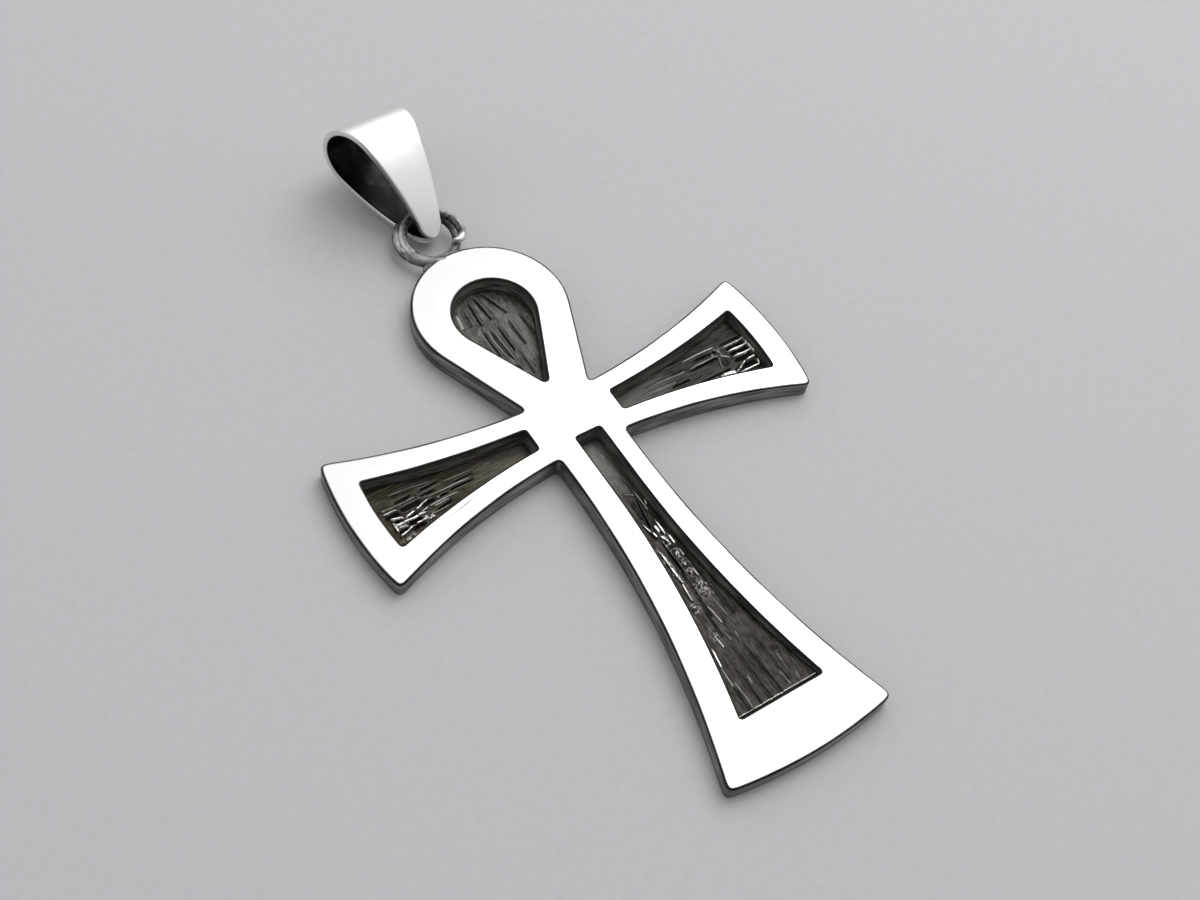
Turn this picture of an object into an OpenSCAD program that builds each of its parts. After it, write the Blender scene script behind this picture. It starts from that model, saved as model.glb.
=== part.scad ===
// Cross pendant in silver: a looped cross with four darkened windows, a soldered ring and a
// folded bail. Millimetres. The origin is on the back face under the crossing, +X runs across
// the arms, +Y up through the loop to the bail, +Z out of the polished face.

/* [Cross] */
// Width across the two arms, at the middle of their rounded ends
span = 34.2; // [31:0.1:37]
// Distance from the crossing down to the middle of the foot's edge
stem_len = 27.4; // [26:0.2:30]
// Height of an arm at its root
arm_root_h = 4.3; // [3.8:0.1:4.8]
// Height of an arm at the corners of its end
arm_end_h = 10.6; // [9.6:0.2:11.6]
// How far the arms' middle line lies above the origin
arms_y = 0.1; // [0:0.1:0.4]
// Width of the stem at its waist
stem_w = 5.3; // [4.8:0.1:5.8]
// Width of the foot at its corners
foot_w = 13; // [11.6:0.1:14]
// How far the ends of the arms and the foot bulge between their corners
end_bulge = 0.6; // [0.4:0.1:0.9]
// Radius on the corners of the outline
corner_r = 0.3; // [0.2:0.05:0.5]

/* [Loop] */
// Outer radius of the loop
loop_r = 5.6; // [5.2:0.05:6]
// Distance from the crossing up to the loop's centre
loop_y = 10.8; // [10.4:0.1:11]
// Width of the loop's neck on the arms' middle line, where its sides would run on to
neck_w = 3.4; // [3:0.1:4.4]

/* [Thickness] */
// Thickness of the cross at the crossing
cross_t = 1.7; // [1.6:0.05:2]
// How far the face falls from the crossing to an arm's end
arm_fall = 0.45; // [0.3:0.05:0.5]
// How far the face falls from the crossing to the foot
foot_fall = 0.5; // [0.3:0.05:0.55]
// Thickness of the backing behind the windows
back_t = 0.25; // [0.2:0.05:0.3]
// Thickness of a dark panel between its ridges
panel_t = 0.2; // [0.15:0.05:0.25]
// Gap between a panel and the wall of its window
panel_gap = 0.04; // [0.03:0.01:0.08]

/* [Windows] */
// Radius of the loop window's round end
eye_r = 2.95; // [2.7:0.05:3.2]
// Distance from the crossing to the centre of that round end
eye_y = 10.35; // [10.1:0.05:10.6]
// Distance from the crossing to the loop window's point
eye_tip_y = 3.7; // [3.5:0.1:4.4]
// Where an arm window begins, measured from the stem's middle line
arm_win_x = 3.45; // [3.2:0.05:3.8]
// Height of an arm window as it would be on the stem's middle line
arm_win_root = 1.44; // [1.2:0.04:1.6]
// Height of an arm window at its outer corners
arm_win_h = 5.5; // [5:0.1:5.8]
// Width of the metal left outside an arm window's end
arm_rim = 2.05; // [1.8:0.05:2.4]
// Distance from the crossing down to the top of the stem window
stem_win_top = 1.2; // [1.1:0.1:1.5]
// Distance from the crossing down to the foot of the stem window
stem_win_foot = 23.3; // [22.6:0.1:24]
// How far the stem window lies to the right of the stem's middle line
stem_win_x = 0.2; // [0:0.05:0.3]
// Width of the stem window above its waist
stem_win_w = 1.9; // [1.7:0.05:2.3]
// Width of the stem window at its foot
stem_win_foot_w = 6.4; // [6:0.1:6.8]

/* [Ring] */
// Outer radius of each of the ring's two turns of wire
ring_r = 2.45; // [2.4:0.01:2.5]
// Thickness of the ring's wire
ring_wire = 0.6; // [0.56:0.01:0.62]
// Height of the ring's lower side above the surface it lies on, next to the loop
ring_z = 0.6; // [0.58:0.01:0.62]
// Tilt of the ring, which lifts the side away from the loop
ring_tilt = 4.5; // [4:0.5:5]
// How far the upper turn of wire lies above the lower turn
turn_lift = 0.32; // [0.3:0.01:0.33]
// How far each turn of wire lies to one side of the ring's centre
turn_shift = 0.22; // [0.15:0.01:0.24]
// How far the ring's centre lies to one side of the loop's middle line
ring_x = -0.4; // [-0.6:0.1:0]
// Distance from the crossing up to the ring's centre
ring_y = 18.5; // [18.4:0.05:18.55]

/* [Bail] */
// Thickness of the bail's sheet
bail_t = 0.45; // [0.4:0.01:0.48]
// Outer radius of the bail's round end
bail_r = 2.7; // [2.6:0.05:2.9]
// Distance from the bail's tip to the centre of its round end
bail_reach = 7.35; // [7.1:0.05:7.6]
// Radius of the arcs along which the bail's leaves bow outwards
bail_bow_r = 15.5; // [14:0.5:24]
// Thickness of the bail at its tip, where the two leaves are soldered
bail_tip_t = 0.96; // [0.92:0.02:1]
// Width of the bail at the far side of its round end
bail_w = 6; // [5.4:0.1:6.4]
// Width of the bail at its tip
bail_tip_w = 1.95; // [1.7:0.05:2.1]
// Turn of the bail to the left, seen from above
bail_turn = 8.5; // [6:0.5:10]
// Tilt of the bail, which lifts its left side off the surface
bail_roll = 8.3; // [7:0.1:9]
// Where the bail's tip lies inside the ring
bail_x = -0.25; // [-0.4:0.05:-0.1]
// Distance from the crossing up to the bail's tip
bail_y = 18.5; // [18.4:0.05:18.6]

/* [Hidden] */
$fa = 2;
$fs = 0.35;

polished = [0.93, 0.93, 0.94];
satin = [0.84, 0.84, 0.86];
greyed = [0.5, 0.5, 0.51];
blackened = [0.24, 0.23, 0.21];

// Radius of the arc that rises by rise over a run, level where it starts
function flare_r(run, rise) = (run * run + rise * rise) / (2 * rise);
// Height of that arc above its start, at a distance along it
function flare(r, along) = r - sqrt(r * r - along * along);

arm_corner_x = span / 2 - end_bulge;
arm_r = flare_r(arm_corner_x, (arm_end_h - arm_root_h) / 2);
arm_end_r = flare_r(arm_end_h / 2, end_bulge);

// The stem is narrowest a little below the arms
waist_y = -4;
foot_corner_y = end_bulge - stem_len;
stem_r = flare_r(waist_y - foot_corner_y, (foot_w - stem_w) / 2);
foot_r = flare_r(foot_w / 2, end_bulge);

arm_win_end = span / 2 - arm_rim;
arm_win_r = flare_r(arm_win_end, (arm_win_h - arm_win_root) / 2);
stem_win_waist = 5.5;
stem_win_r = flare_r(stem_win_foot - stem_win_waist, (stem_win_foot_w - stem_win_w) / 2);
win_corner_r = 0.25;

// The face is filed to a gentle crown, in flats too shallow to see
crown_flats = 10;

// The stem panel rises towards the foot, so that its window grows shallow there
stem_panel_rise = 0.5;
stem_panel_tilt = atan(stem_panel_rise / (stem_win_foot - stem_win_top));
floor_z = back_t + panel_t;

// Tooled ridges start a little inside the panel, so that they are one solid with it. Each swells
// from next to nothing to its crest, then breaks off.
sink = 0.08;
ridge_start_h = 0.02;
ridge_crest = 0.8;
ridge_break = 0.7;
// Columns of the ridge tables
START = 0;
END = 1;
WIDE = 2;
HIGH = 3;
PLACE = 4;

// Direction in which the upper turn of the ring's wire is shifted, and the lower turn the other way
turn_way = -28;
turn_r = ring_r - ring_wire / 2;

// The bail's leaves follow arcs that pass through the tip and run into the round end without a
// corner. This is the centre of the front leaf's arc, below the bail's middle line.
tip_half = bail_tip_t / 2;
tip_run = norm([bail_reach, tip_half]);
tip_way = [bail_reach, -tip_half] / tip_run;
bow_along = (pow(bail_bow_r, 2) - pow(bail_bow_r - bail_r, 2) + pow(tip_run, 2)) / (2 * tip_run);
bow_down = sqrt(pow(bail_bow_r, 2) - pow(bow_along, 2));
bow_x = bow_along * tip_way.x + bow_down * tip_way.y;
bow_y = tip_half + bow_along * tip_way.y - bow_down * tip_way.x;
// Angle at which the front leaf runs into the round end
bail_join = atan2(-bow_y, bail_reach - bow_x);
// The middle line leans a little more than when both ends of the back leaf's arc are level, which
// brings that leaf down where it passes under the ring
bail_sag = 3;
bail_lean = asin(bail_r / tip_run) - atan(tip_half / bail_reach) + bail_sag;
bail_clear = 0.02;
bail_tip_z = bail_clear + bail_bow_r - bow_x * sin(bail_lean) + bow_y * cos(bail_lean);
// Height by which the tilt to the side lifts the bail's middle
bail_roll_z = 0.2;
bail_steps = 48;
leaf_steps = 10;

// A bar along +X whose two edges flare out along arcs from its waist at the origin
module flared_bar(len, half_root, r) {
    difference() {
        translate([0, -len / 2])
            square([len, len]);
        for (side = [-1, 1])
            translate([0, side * (half_root + r)])
                circle(r = r);
    }
}

// Rounds the outer corners of a flat shape
module eased(r) {
    offset(r = r)
        offset(delta = -r)
            children();
}

module arm_outline() {
    intersection() {
        flared_bar(span, arm_root_h / 2, arm_r);
        translate([span / 2 - arm_end_r, 0])
            circle(r = arm_end_r);
    }
}

module stem_outline() {
    shoulder = 0.2;
    intersection() {
        union() {
            translate([0, waist_y])
                rotate(-90)
                    flared_bar(stem_len, stem_w / 2, stem_r);
            translate([-stem_w / 2, waist_y - shoulder])
                square([stem_w, shoulder - waist_y]);
        }
        translate([0, foot_r - stem_len])
            circle(r = foot_r);
    }
}

module loop_outline() {
    hull() {
        translate([0, loop_y])
            circle(r = loop_r);
        translate([-neck_w / 2, arms_y])
            square([neck_w, arm_root_h / 2]);
    }
}

module cross_outline() {
    eased(corner_r) {
        for (side = [0, 1])
            mirror([side, 0])
                translate([0, arms_y])
                    arm_outline();
        stem_outline();
        loop_outline();
    }
}

// The four windows. Each is drawn the same for the pocket and for the panel that lies in it.
module loop_window() {
    tip_r = 0.22;
    hull() {
        translate([0, eye_y])
            circle(r = eye_r);
        translate([0, eye_tip_y + tip_r])
            circle(r = tip_r);
    }
}

module arm_window() {
    end_r = arm_end_r - arm_rim;
    eased(win_corner_r)
        translate([0, arms_y])
            intersection() {
                flared_bar(span, arm_win_root / 2, arm_win_r);
                translate([arm_win_end - end_r, 0])
                    circle(r = end_r);
                translate([arm_win_x, -arm_win_h])
                    square([span, 2 * arm_win_h]);
            }
}

module stem_window() {
    overlap = 0.2;
    translate([stem_win_x, 0])
        eased(win_corner_r)
            intersection() {
                union() {
                    translate([0, -stem_win_waist])
                        rotate(-90)
                            flared_bar(stem_len, stem_win_w / 2, stem_win_r);
                    translate([-stem_win_w / 2, -stem_win_waist - overlap])
                        square([stem_win_w, stem_win_waist + overlap]);
                }
                translate([-stem_win_foot_w, -stem_win_foot])
                    square([2 * stem_win_foot_w, stem_win_foot - stem_win_top]);
            }
}

module pocket() {
    translate([0, 0, back_t])
        linear_extrude(2 * cross_t)
            children();
}

// A long bar along +Y whose top is crowned across its width
module crown(half_w, fall) {
    r = flare_r(half_w, fall);
    rotate([90, 0, 0])
        linear_extrude(4 * span, center = true)
            polygon([
                [-half_w, -cross_t],
                for (i = [-crown_flats : crown_flats])
                    let (x = half_w * i / crown_flats)
                        [x, cross_t - flare(r, abs(x))],
                [half_w, -cross_t]
            ]);
}

// The polished cross: a thick plate with a gently crowned face and four pockets
module cross_plate() {
    difference() {
        intersection() {
            linear_extrude(cross_t)
                cross_outline();
            crown(span / 2, arm_fall);
            rotate([0, 0, 90])
                crown(stem_len, foot_fall);
        }
        pocket() loop_window();
        pocket() arm_window();
        pocket() mirror([1, 0]) arm_window();
        pocket() stem_window();
    }
}

// Two turns of round wire, one half beside and half above the other, soldered to the loop's top
module ring() {
    wire_flats = 32;
    translate([ring_x, ring_y - ring_r, ring_z])
        rotate([ring_tilt, 0, 0])
            translate([0, ring_r, ring_wire / 2])
                rotate(turn_way)
                    for (side = [-1, 1])
                        translate([side * turn_shift, 0, max(0, side) * turn_lift])
                            rotate_extrude()
                                translate([turn_r, 0])
                                    circle(d = ring_wire, $fn = wire_flats);
}

// Solder that fills the corner between the ring and the loop, seen from above a wedge with its
// wide side inside the loop's metal
module solder() {
    wide = 3.6;
    narrow = 2.6;
    below = 3.2;
    above = 1.6;
    solder_h = 0.6;
    solder_z = ring_z + 0.05;
    translate([ring_x, ring_y, solder_z])
        linear_extrude(solder_h)
            difference() {
                polygon([
                    [-wide / 2, -below],
                    [wide / 2, -below],
                    [narrow / 2, -above],
                    [-narrow / 2, -above]
                ]);
                circle(r = turn_r);
            }
}

module cross_frame() {
    color(polished) cross_plate();
    color(greyed) ring();
    color(greyed) solder();
}

// One tooled ridge between two points of a panel, as wide and high as its row in the table says
module ridge(from, to, row) {
    way = to - from;
    run = norm(way);
    h = row[HIGH];
    translate(from)
        rotate([90, 0, atan2(way.y, way.x)])
            linear_extrude(row[WIDE], center = true)
                polygon([
                    [0, -sink],
                    [run, -sink],
                    [run, h * ridge_break],
                    [run * ridge_crest, h],
                    [0, ridge_start_h]
                ]);
}

// The first child cut to the second, a window's outline less the gap
module inlay() {
    color(blackened)
        intersection() {
            children(0);
            translate([0, 0, back_t])
                linear_extrude(cross_t)
                    offset(delta = -panel_gap)
                        children(1);
        }
}

module slab() {
    translate([-span, -span, back_t])
        cube([2 * span, 2 * span, panel_t]);
}

// Ridges of the arm panels. They start and end at distances along the arm, and their place runs
// from -1 at the window's lower edge to 1 at its upper edge.
left_arm_ridges = [
    // START, END, WIDE, HIGH, PLACE
    [7.2, 11.4, 0.30, 0.14, 0.40],
    [9.6, 14.4, 0.34, 0.22, 0.10],
    [10.4, 14.7, 0.30, 0.28, -0.18],
    [8.4, 12.6, 0.26, 0.20, -0.34],
    [11.0, 14.7, 0.36, 0.34, -0.52],
    [12.2, 14.7, 0.30, 0.26, -0.80],
    [6.2, 9.8, 0.22, 0.14, -0.62],
    [11.6, 14.6, 0.34, 0.12, 0.52]
];
right_arm_ridges = [
    // START, END, WIDE, HIGH, PLACE
    [6.4, 11.2, 0.30, 0.16, 0.02],
    [9.2, 13.2, 0.30, 0.18, 0.24],
    [11.8, 14.5, 0.26, 0.26, 0.34],
    [12.0, 14.6, 0.28, 0.30, 0.10],
    [12.2, 14.6, 0.30, 0.34, -0.16],
    [10.8, 14.6, 0.42, 0.40, -0.44],
    [5.4, 10.4, 0.32, 0.18, -0.48],
    [12.6, 14.5, 0.26, 0.22, -0.78]
];

function arm_half(x) = arm_win_root / 2 + flare(arm_win_r, x);
function arm_point(row, end) = [row[end], row[PLACE] * arm_half(row[end])];

module arm_panel(ridges) {
    inlay() {
        union() {
            slab();
            translate([0, arms_y, floor_z])
                for (row = ridges)
                    ridge(arm_point(row, START), arm_point(row, END), row);
        }
        arm_window();
    }
}

module right_arm_panel() arm_panel(right_arm_ridges);
module left_arm_panel() mirror([1, 0, 0]) arm_panel(left_arm_ridges);

// Ridges of the loop panel, between points given as [x, y]
loop_ridges = [
    // START, END, WIDE, HIGH
    [[-0.9, 12.6], [-0.6, 10.4], 0.42, 0.14],
    [[-1.7, 11.9], [-1.3, 9.2], 0.40, 0.16],
    [[-2.5, 10.8], [-1.7, 8.0], 0.34, 0.14],
    [[0.1, 10.0], [0.5, 7.3], 0.46, 0.16],
    [[1.2, 10.3], [1.3, 7.9], 0.44, 0.14],
    [[-0.8, 8.4], [-0.1, 5.6], 0.34, 0.20],
    [[-1.3, 7.6], [-0.4, 4.8], 0.26, 0.16],
    [[0.7, 7.0], [0.4, 5.0], 0.36, 0.12]
];

module loop_panel() {
    inlay() {
        union() {
            slab();
            translate([0, 0, floor_z])
                for (row = loop_ridges)
                    ridge(row[START], row[END], row);
        }
        loop_window();
    }
}

// Ridges of the stem panel. They start and end at distances down the stem, and their place runs
// from -1 at the window's left edge to 1 at its right edge.
stem_ridges = [
    // START, END, WIDE, HIGH, PLACE
    [2.2, 5.6, 0.80, 0.12, -0.30],
    [5.0, 9.4, 0.34, 0.22, 0.05],
    [6.6, 11.6, 0.30, 0.18, -0.55],
    [8.4, 12.8, 0.26, 0.20, 0.30],
    [9.0, 14.2, 0.30, 0.26, -0.15],
    [11.4, 16.4, 0.30, 0.14, 0.62],
    [12.4, 17.6, 0.34, 0.18, -0.48],
    [13.0, 18.4, 0.32, 0.20, 0.10],
    [15.2, 20.6, 0.34, 0.14, -0.76],
    [15.8, 22.0, 0.36, 0.14, -0.22],
    [16.6, 21.4, 0.40, 0.14, 0.40],
    [17.8, 23.2, 0.40, 0.12, 0.72],
    [19.0, 23.3, 0.38, 0.12, 0.06],
    [20.0, 23.3, 0.40, 0.12, -0.52]
];

function stem_half(y) = stem_win_w / 2 + flare(stem_win_r, max(0, y - stem_win_waist));
function stem_point(row, end) = [stem_win_x + row[PLACE] * stem_half(row[end]), -row[end]];

// The panel is tilted about the window's top edge, so that it climbs towards the foot
module stem_panel() {
    inlay() {
        translate([0, -stem_win_top, floor_z])
            rotate([-stem_panel_tilt, 0, 0])
                union() {
                    translate([-span / 2, -stem_len, -span])
                        cube([span, 2 * stem_len, span]);
                    translate([0, stem_win_top, 0])
                        for (row = stem_ridges)
                            ridge(stem_point(row, START), stem_point(row, END), row);
                }
        stem_window();
    }
}

// Points on the front leaf's arc, from an angle to where it runs into the round end
function leaf(r, from) =
    [for (i = [0 : leaf_steps])
        let (turn = from + (bail_join - from) * i / leaf_steps)
            [bow_x + r * cos(turn), bow_y + r * sin(turn)]];

// Points of the bail's section, or of its eye when cut is the sheet's thickness: one leaf, the round
// end and the other leaf
function bail_points(cut, from) =
    let (front = leaf(bail_bow_r - cut, from), last = len(front) - 1)
        concat(
            front,
            [for (i = [1 : bail_steps - 1])
                let (turn = bail_join * (1 - 2 * i / bail_steps))
                    [bail_reach + (bail_r - cut) * cos(turn), (bail_r - cut) * sin(turn)]],
            [for (i = [0 : last]) [front[last - i].x, -front[last - i].y]]
        );

// Section of the bail: a sheet of even thickness, its two leaves soldered at the tip
module bail_section() {
    difference() {
        polygon(bail_points(0, atan2(tip_half - bow_y, -bow_x)));
        polygon(bail_points(bail_t, 180 - asin(-bow_y / (bail_bow_r - bail_t))));
    }
}

// Outline of the bail seen square to its middle line: a taper with a round tip
module bail_taper() {
    edge = 0.1;
    hull() {
        translate([bail_tip_w / 2, 0])
            circle(d = bail_tip_w);
        translate([bail_reach + bail_r, -bail_w / 2])
            square([edge, bail_w]);
    }
}

module bail() {
    color(satin)
        translate([bail_x, bail_y, bail_roll_z])
            rotate([bail_roll, 0, 90 + bail_turn])
                translate([0, 0, bail_tip_z])
                    rotate([0, -bail_lean, 0])
                        intersection() {
                            rotate([90, 0, 0])
                                linear_extrude(2 * bail_w, center = true)
                                    bail_section();
                            linear_extrude(4 * bail_r, center = true)
                                bail_taper();
                        }
}

cross_frame();
loop_panel();
left_arm_panel();
right_arm_panel();
stem_panel();
bail();
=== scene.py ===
"""Looks of a looped silver cross: mirror-polished plate, blackened tooled panels, wire ring, satin bail.

Sizes are millimetres in the part's own frame: the origin is on the back face under the crossing, +X runs
across the arms, +Y up to the bail and +Z out of the polished face. They become metres where a mesh is made.
"""

import math

import bmesh
import bpy
import numpy as np
from mathutils import Euler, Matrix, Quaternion, Vector
from mathutils.geometry import delaunay_2d_cdt


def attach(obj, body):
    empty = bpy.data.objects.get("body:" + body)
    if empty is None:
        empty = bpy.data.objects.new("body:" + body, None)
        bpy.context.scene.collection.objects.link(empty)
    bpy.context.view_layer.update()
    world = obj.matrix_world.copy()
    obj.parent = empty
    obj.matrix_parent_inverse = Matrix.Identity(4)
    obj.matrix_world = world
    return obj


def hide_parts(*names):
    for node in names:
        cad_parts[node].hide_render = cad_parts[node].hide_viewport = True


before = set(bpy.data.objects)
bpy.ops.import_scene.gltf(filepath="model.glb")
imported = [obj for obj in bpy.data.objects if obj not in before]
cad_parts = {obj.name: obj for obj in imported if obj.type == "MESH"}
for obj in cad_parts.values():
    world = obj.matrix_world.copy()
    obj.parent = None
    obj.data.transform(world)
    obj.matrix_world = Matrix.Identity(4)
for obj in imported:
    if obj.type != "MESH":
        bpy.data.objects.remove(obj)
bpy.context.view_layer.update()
MM = 0.001

# The cross, as in the part's source
SPAN, STEM_LEN, END_BULGE = 34.2, 27.4, 0.6
ARM_ROOT_H, ARM_END_H, ARMS_Y = 4.3, 10.6, 0.1
STEM_W, FOOT_W, WAIST_Y = 5.3, 13.0, -4.0
LOOP_R, LOOP_Y, NECK_W = 5.6, 10.8, 3.4
CROSS_T, ARM_FALL, FOOT_FALL = 1.7, 0.45, 0.5
BACK_T, PANEL_T, PANEL_GAP = 0.25, 0.2, 0.04
EYE_R, EYE_Y, EYE_TIP_Y, EYE_TIP_R = 2.95, 10.35, 3.7, 0.22
ARM_WIN_X, ARM_WIN_ROOT, ARM_WIN_H, ARM_RIM = 3.45, 1.44, 5.5, 2.05
STEM_WIN_TOP, STEM_WIN_WAIST, STEM_WIN_FOOT, STEM_WIN_X = 1.2, 5.5, 23.3, 0.2
STEM_WIN_W, STEM_WIN_FOOT_W, STEM_PANEL_RISE = 1.9, 6.4, 0.5
# Ring: outer radius, wire and tilt, its middle and how high its underside is, the upper turn's lift, and
# how far and which way each turn is shifted
RING_R, RING_WIRE, RING_TILT = 2.45, 0.6, math.radians(4.5)
RING_X, RING_Y, RING_Z = -0.4, 18.5, 0.6
TURN_LIFT, TURN_SHIFT, TURN_WAY = 0.32, 0.22, math.radians(-28)
# Bail: sheet, outer radius of the round end, its middle's distance from the tip, outer radius of a leaf and
# both leaves' thickness at the tip; width at the far end and the tip, and where the tip is; how it turns,
# rolls and sags; its gap to the floor, its lift and the rounding of the sheet's edges
BAIL_T, BAIL_R, BAIL_REACH, BAIL_BOW_R, BAIL_TIP_T = 0.45, 2.7, 7.35, 15.5, 0.96
BAIL_W, BAIL_TIP_W, BAIL_X, BAIL_Y = 6.0, 1.95, -0.25, 18.5
BAIL_TURN, BAIL_ROLL, BAIL_SAG = math.radians(8.5), math.radians(8.3), math.radians(3)
BAIL_CLEAR, BAIL_ROLL_Z, BAIL_ROUND = 0.02, 0.2, 0.13
# Solder: middle and half length, how it bends down towards its ends, half width, height and half height
SOLDER_Y, SOLDER_LONG, SOLDER_BEND = 16.40, 1.9, 0.07
SOLDER_WIDE, SOLDER_Z, SOLDER_HIGH = 0.46, 1.02, 0.36
# Distance between points along an edge
STEP = 0.08
# How far corners are rounded: at the crossing, at the arms' ends and the foot, in the windows. The ends
# are rounder past the places given next.
CORNER_SOFT, TIP_SOFT, WINDOW_SOFT, EYE_SOFT = 0.24, 0.42, 0.12, 0.08
WORN_X, WORN_Y, WORN_REACH = 14, -24.5, 1.5
# Roundings that the polishing wheel leaves, and how far it rolls the face off towards the outline
FACE_ROUND, BACK_ROUND, WINDOW_ROUND = 0.12, 0.1, 0.1
ROLL, ROLL_REACH = 0.022, 1.6
# Points on the face: a grid to just past the arms' ends, its step, how far it keeps from edges, and how
# far the row that borders a rounding keeps from it
FACE_X, FACE_STEP, FACE_CLEAR, BORDER = 17.2, 0.2, 0.25, 0.06
# Panels: the grid's step, the rounding of the edge, the least thickness, and a bright end's width
PANEL_STEP, PANEL_ROUND, PANEL_LEAST, PANEL_SHINE = 0.04, 0.06, 0.03, 0.09
# A hairline scratch: part of a circle seen from above, within reach of a middle x
SCRATCH_CENTRE, SCRATCH_R, SCRATCH_X, SCRATCH_REACH = (-12.84, 9.79), 12.18, -9.9, 2.6


def flare_r(run, rise):
    """Radius of the arc that climbs by rise over a run, level where it starts."""
    return (run * run + rise * rise) / (2 * rise)


def flare(r, along):
    """Height of that arc above its start."""
    return r - np.sqrt(r * r - along * along)


ARM_CORNER_X = SPAN / 2 - END_BULGE
ARM_R = flare_r(ARM_CORNER_X, (ARM_END_H - ARM_ROOT_H) / 2)
ARM_END_R = flare_r(ARM_END_H / 2, END_BULGE)
FOOT_CORNER_Y = END_BULGE - STEM_LEN
STEM_R = flare_r(WAIST_Y - FOOT_CORNER_Y, (FOOT_W - STEM_W) / 2)
FOOT_R = flare_r(FOOT_W / 2, END_BULGE)
ARM_WIN_END = SPAN / 2 - ARM_RIM
ARM_WIN_END_R = ARM_END_R - ARM_RIM
ARM_WIN_R = flare_r(ARM_WIN_END, (ARM_WIN_H - ARM_WIN_ROOT) / 2)
STEM_WIN_R = flare_r(STEM_WIN_FOOT - STEM_WIN_WAIST, (STEM_WIN_FOOT_W - STEM_WIN_W) / 2)
FLOOR_Z = BACK_T + PANEL_T


# Curves in the plane of the face

def arc(centre, r, start, end):
    """Points on a circle between two angles in degrees."""
    a = np.radians(np.linspace(start, end, 120))
    return np.column_stack([centre[0] + r * np.cos(a), centre[1] + r * np.sin(a)])


def even(path):
    """The closed path with its points moved to equal distances along it."""
    ring = np.vstack([path, path[:1]])
    gone = np.concatenate([[0], np.cumsum(np.linalg.norm(np.diff(ring, axis=0), axis=1))])
    count = int(round(gone[-1] / STEP))
    at = np.arange(count) * gone[-1] / count
    return np.column_stack([np.interp(at, gone, ring[:, k]) for k in (0, 1)])


def soften(path, radius):
    """Rounds a closed path's corners: each coordinate is averaged along it under a bell of that radius."""
    wave = np.fft.fftfreq(len(path), STEP)
    bell = np.exp(-2 * (np.pi * wave * radius) ** 2)[:, None]
    return np.fft.ifft(np.fft.fft(path, axis=0) * bell, axis=0).real


def both_sides(half, radius):
    """Closes a right-hand half path, given from the top down, with its mirror image, and rounds it."""
    return soften(even(np.vstack([half, half[::-1] * [-1, 1]])), radius)


def shifted(path, out):
    """Moves a clockwise path outwards by a distance, square to its own direction."""
    way = np.roll(path, -1, axis=0) - np.roll(path, 1, axis=0)
    way /= np.linalg.norm(way, axis=1)[:, None]
    return path + out * np.column_stack([-way[:, 1], way[:, 0]])


def arm_edge(x):
    """Height of an arm's upper edge: half the root, plus the flare."""
    return ARMS_Y + ARM_ROOT_H / 2 + flare(ARM_R, x)


def cross_outline():
    """Edge of the plate: loop arc, its tangent side, arm, stem side and foot arc, then the mirror image.

    The corners at the arms' ends and the foot are worn rounder than those at the crossing, so the outline
    passes from the less rounded to the more rounded path there.
    """
    corner = np.array([NECK_W / 2, ARMS_Y])
    way = corner - [0, LOOP_Y]
    leave = math.degrees(math.atan2(way[1], way[0]) + math.acos(LOOP_R / np.linalg.norm(way)))
    loop = arc((0, LOOP_Y), LOOP_R, 90, leave)
    side = np.linspace(loop[-1], corner, 600)
    side = side[side[:, 1] > arm_edge(side[:, 0])]
    x = np.linspace(side[-1, 0], ARM_CORNER_X, 300)
    upper = np.column_stack([x, arm_edge(x)])
    y = np.linspace(ARM_END_H / 2, -ARM_END_H / 2, 200)
    end = np.column_stack([SPAN / 2 - flare(ARM_END_R, y), ARMS_Y + y])
    x = np.linspace(ARM_CORNER_X, STEM_W / 2, 300)
    lower = np.column_stack([x, 2 * ARMS_Y - arm_edge(x)])
    y = np.linspace(lower[-1, 1], FOOT_CORNER_Y, 400)
    stem = np.column_stack([STEM_W / 2 + flare(STEM_R, np.maximum(0, WAIST_Y - y)), y])
    x = np.linspace(FOOT_W / 2, 0, 150)
    foot = np.column_stack([x, flare(FOOT_R, x) - STEM_LEN])
    half = np.vstack([loop, side, upper, end, lower, stem, foot])
    edge, worn = both_sides(half, CORNER_SOFT), both_sides(half, TIP_SOFT)
    past_arm = ease((np.abs(edge[:, 0]) - WORN_X) / WORN_REACH)
    past_foot = ease((WORN_Y - edge[:, 1]) / WORN_REACH)
    return edge + (worn - edge) * np.maximum(past_arm, past_foot)[:, None]


def loop_window():
    """Two circles and the tangent between them."""
    turn = -math.degrees(math.asin((EYE_R - EYE_TIP_R) / (EYE_Y - EYE_TIP_Y - EYE_TIP_R)))
    big = arc((0, EYE_Y), EYE_R, 90, turn)
    tip = arc((0, EYE_TIP_Y + EYE_TIP_R), EYE_TIP_R, turn, -90)
    return both_sides(np.vstack([big, tip]), EYE_SOFT)


def arm_window(side):
    """Straight root, two flared edges and an arc along the end. Side is 1 on the right, -1 on the left."""

    def half(x):
        return ARM_WIN_ROOT / 2 + flare(ARM_WIN_R, x)

    # Where the edge meets the end's arc is found by trying the corner's height six times
    corner = half(ARM_WIN_END)
    for _ in range(6):
        corner = half(ARM_WIN_END - flare(ARM_WIN_END_R, corner))
    x = np.linspace(ARM_WIN_X, ARM_WIN_END - flare(ARM_WIN_END_R, corner), 300)
    y = np.linspace(corner, -corner, 200)
    path = np.vstack([
        np.column_stack([x, half(x)]),
        np.column_stack([ARM_WIN_END - flare(ARM_WIN_END_R, y), y]),
        np.column_stack([x[::-1], -half(x[::-1])]),
    ])
    path = soften(even(path), WINDOW_SOFT) * [side, 1] + [0, ARMS_Y]
    return path if side > 0 else path[::-1]


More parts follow.
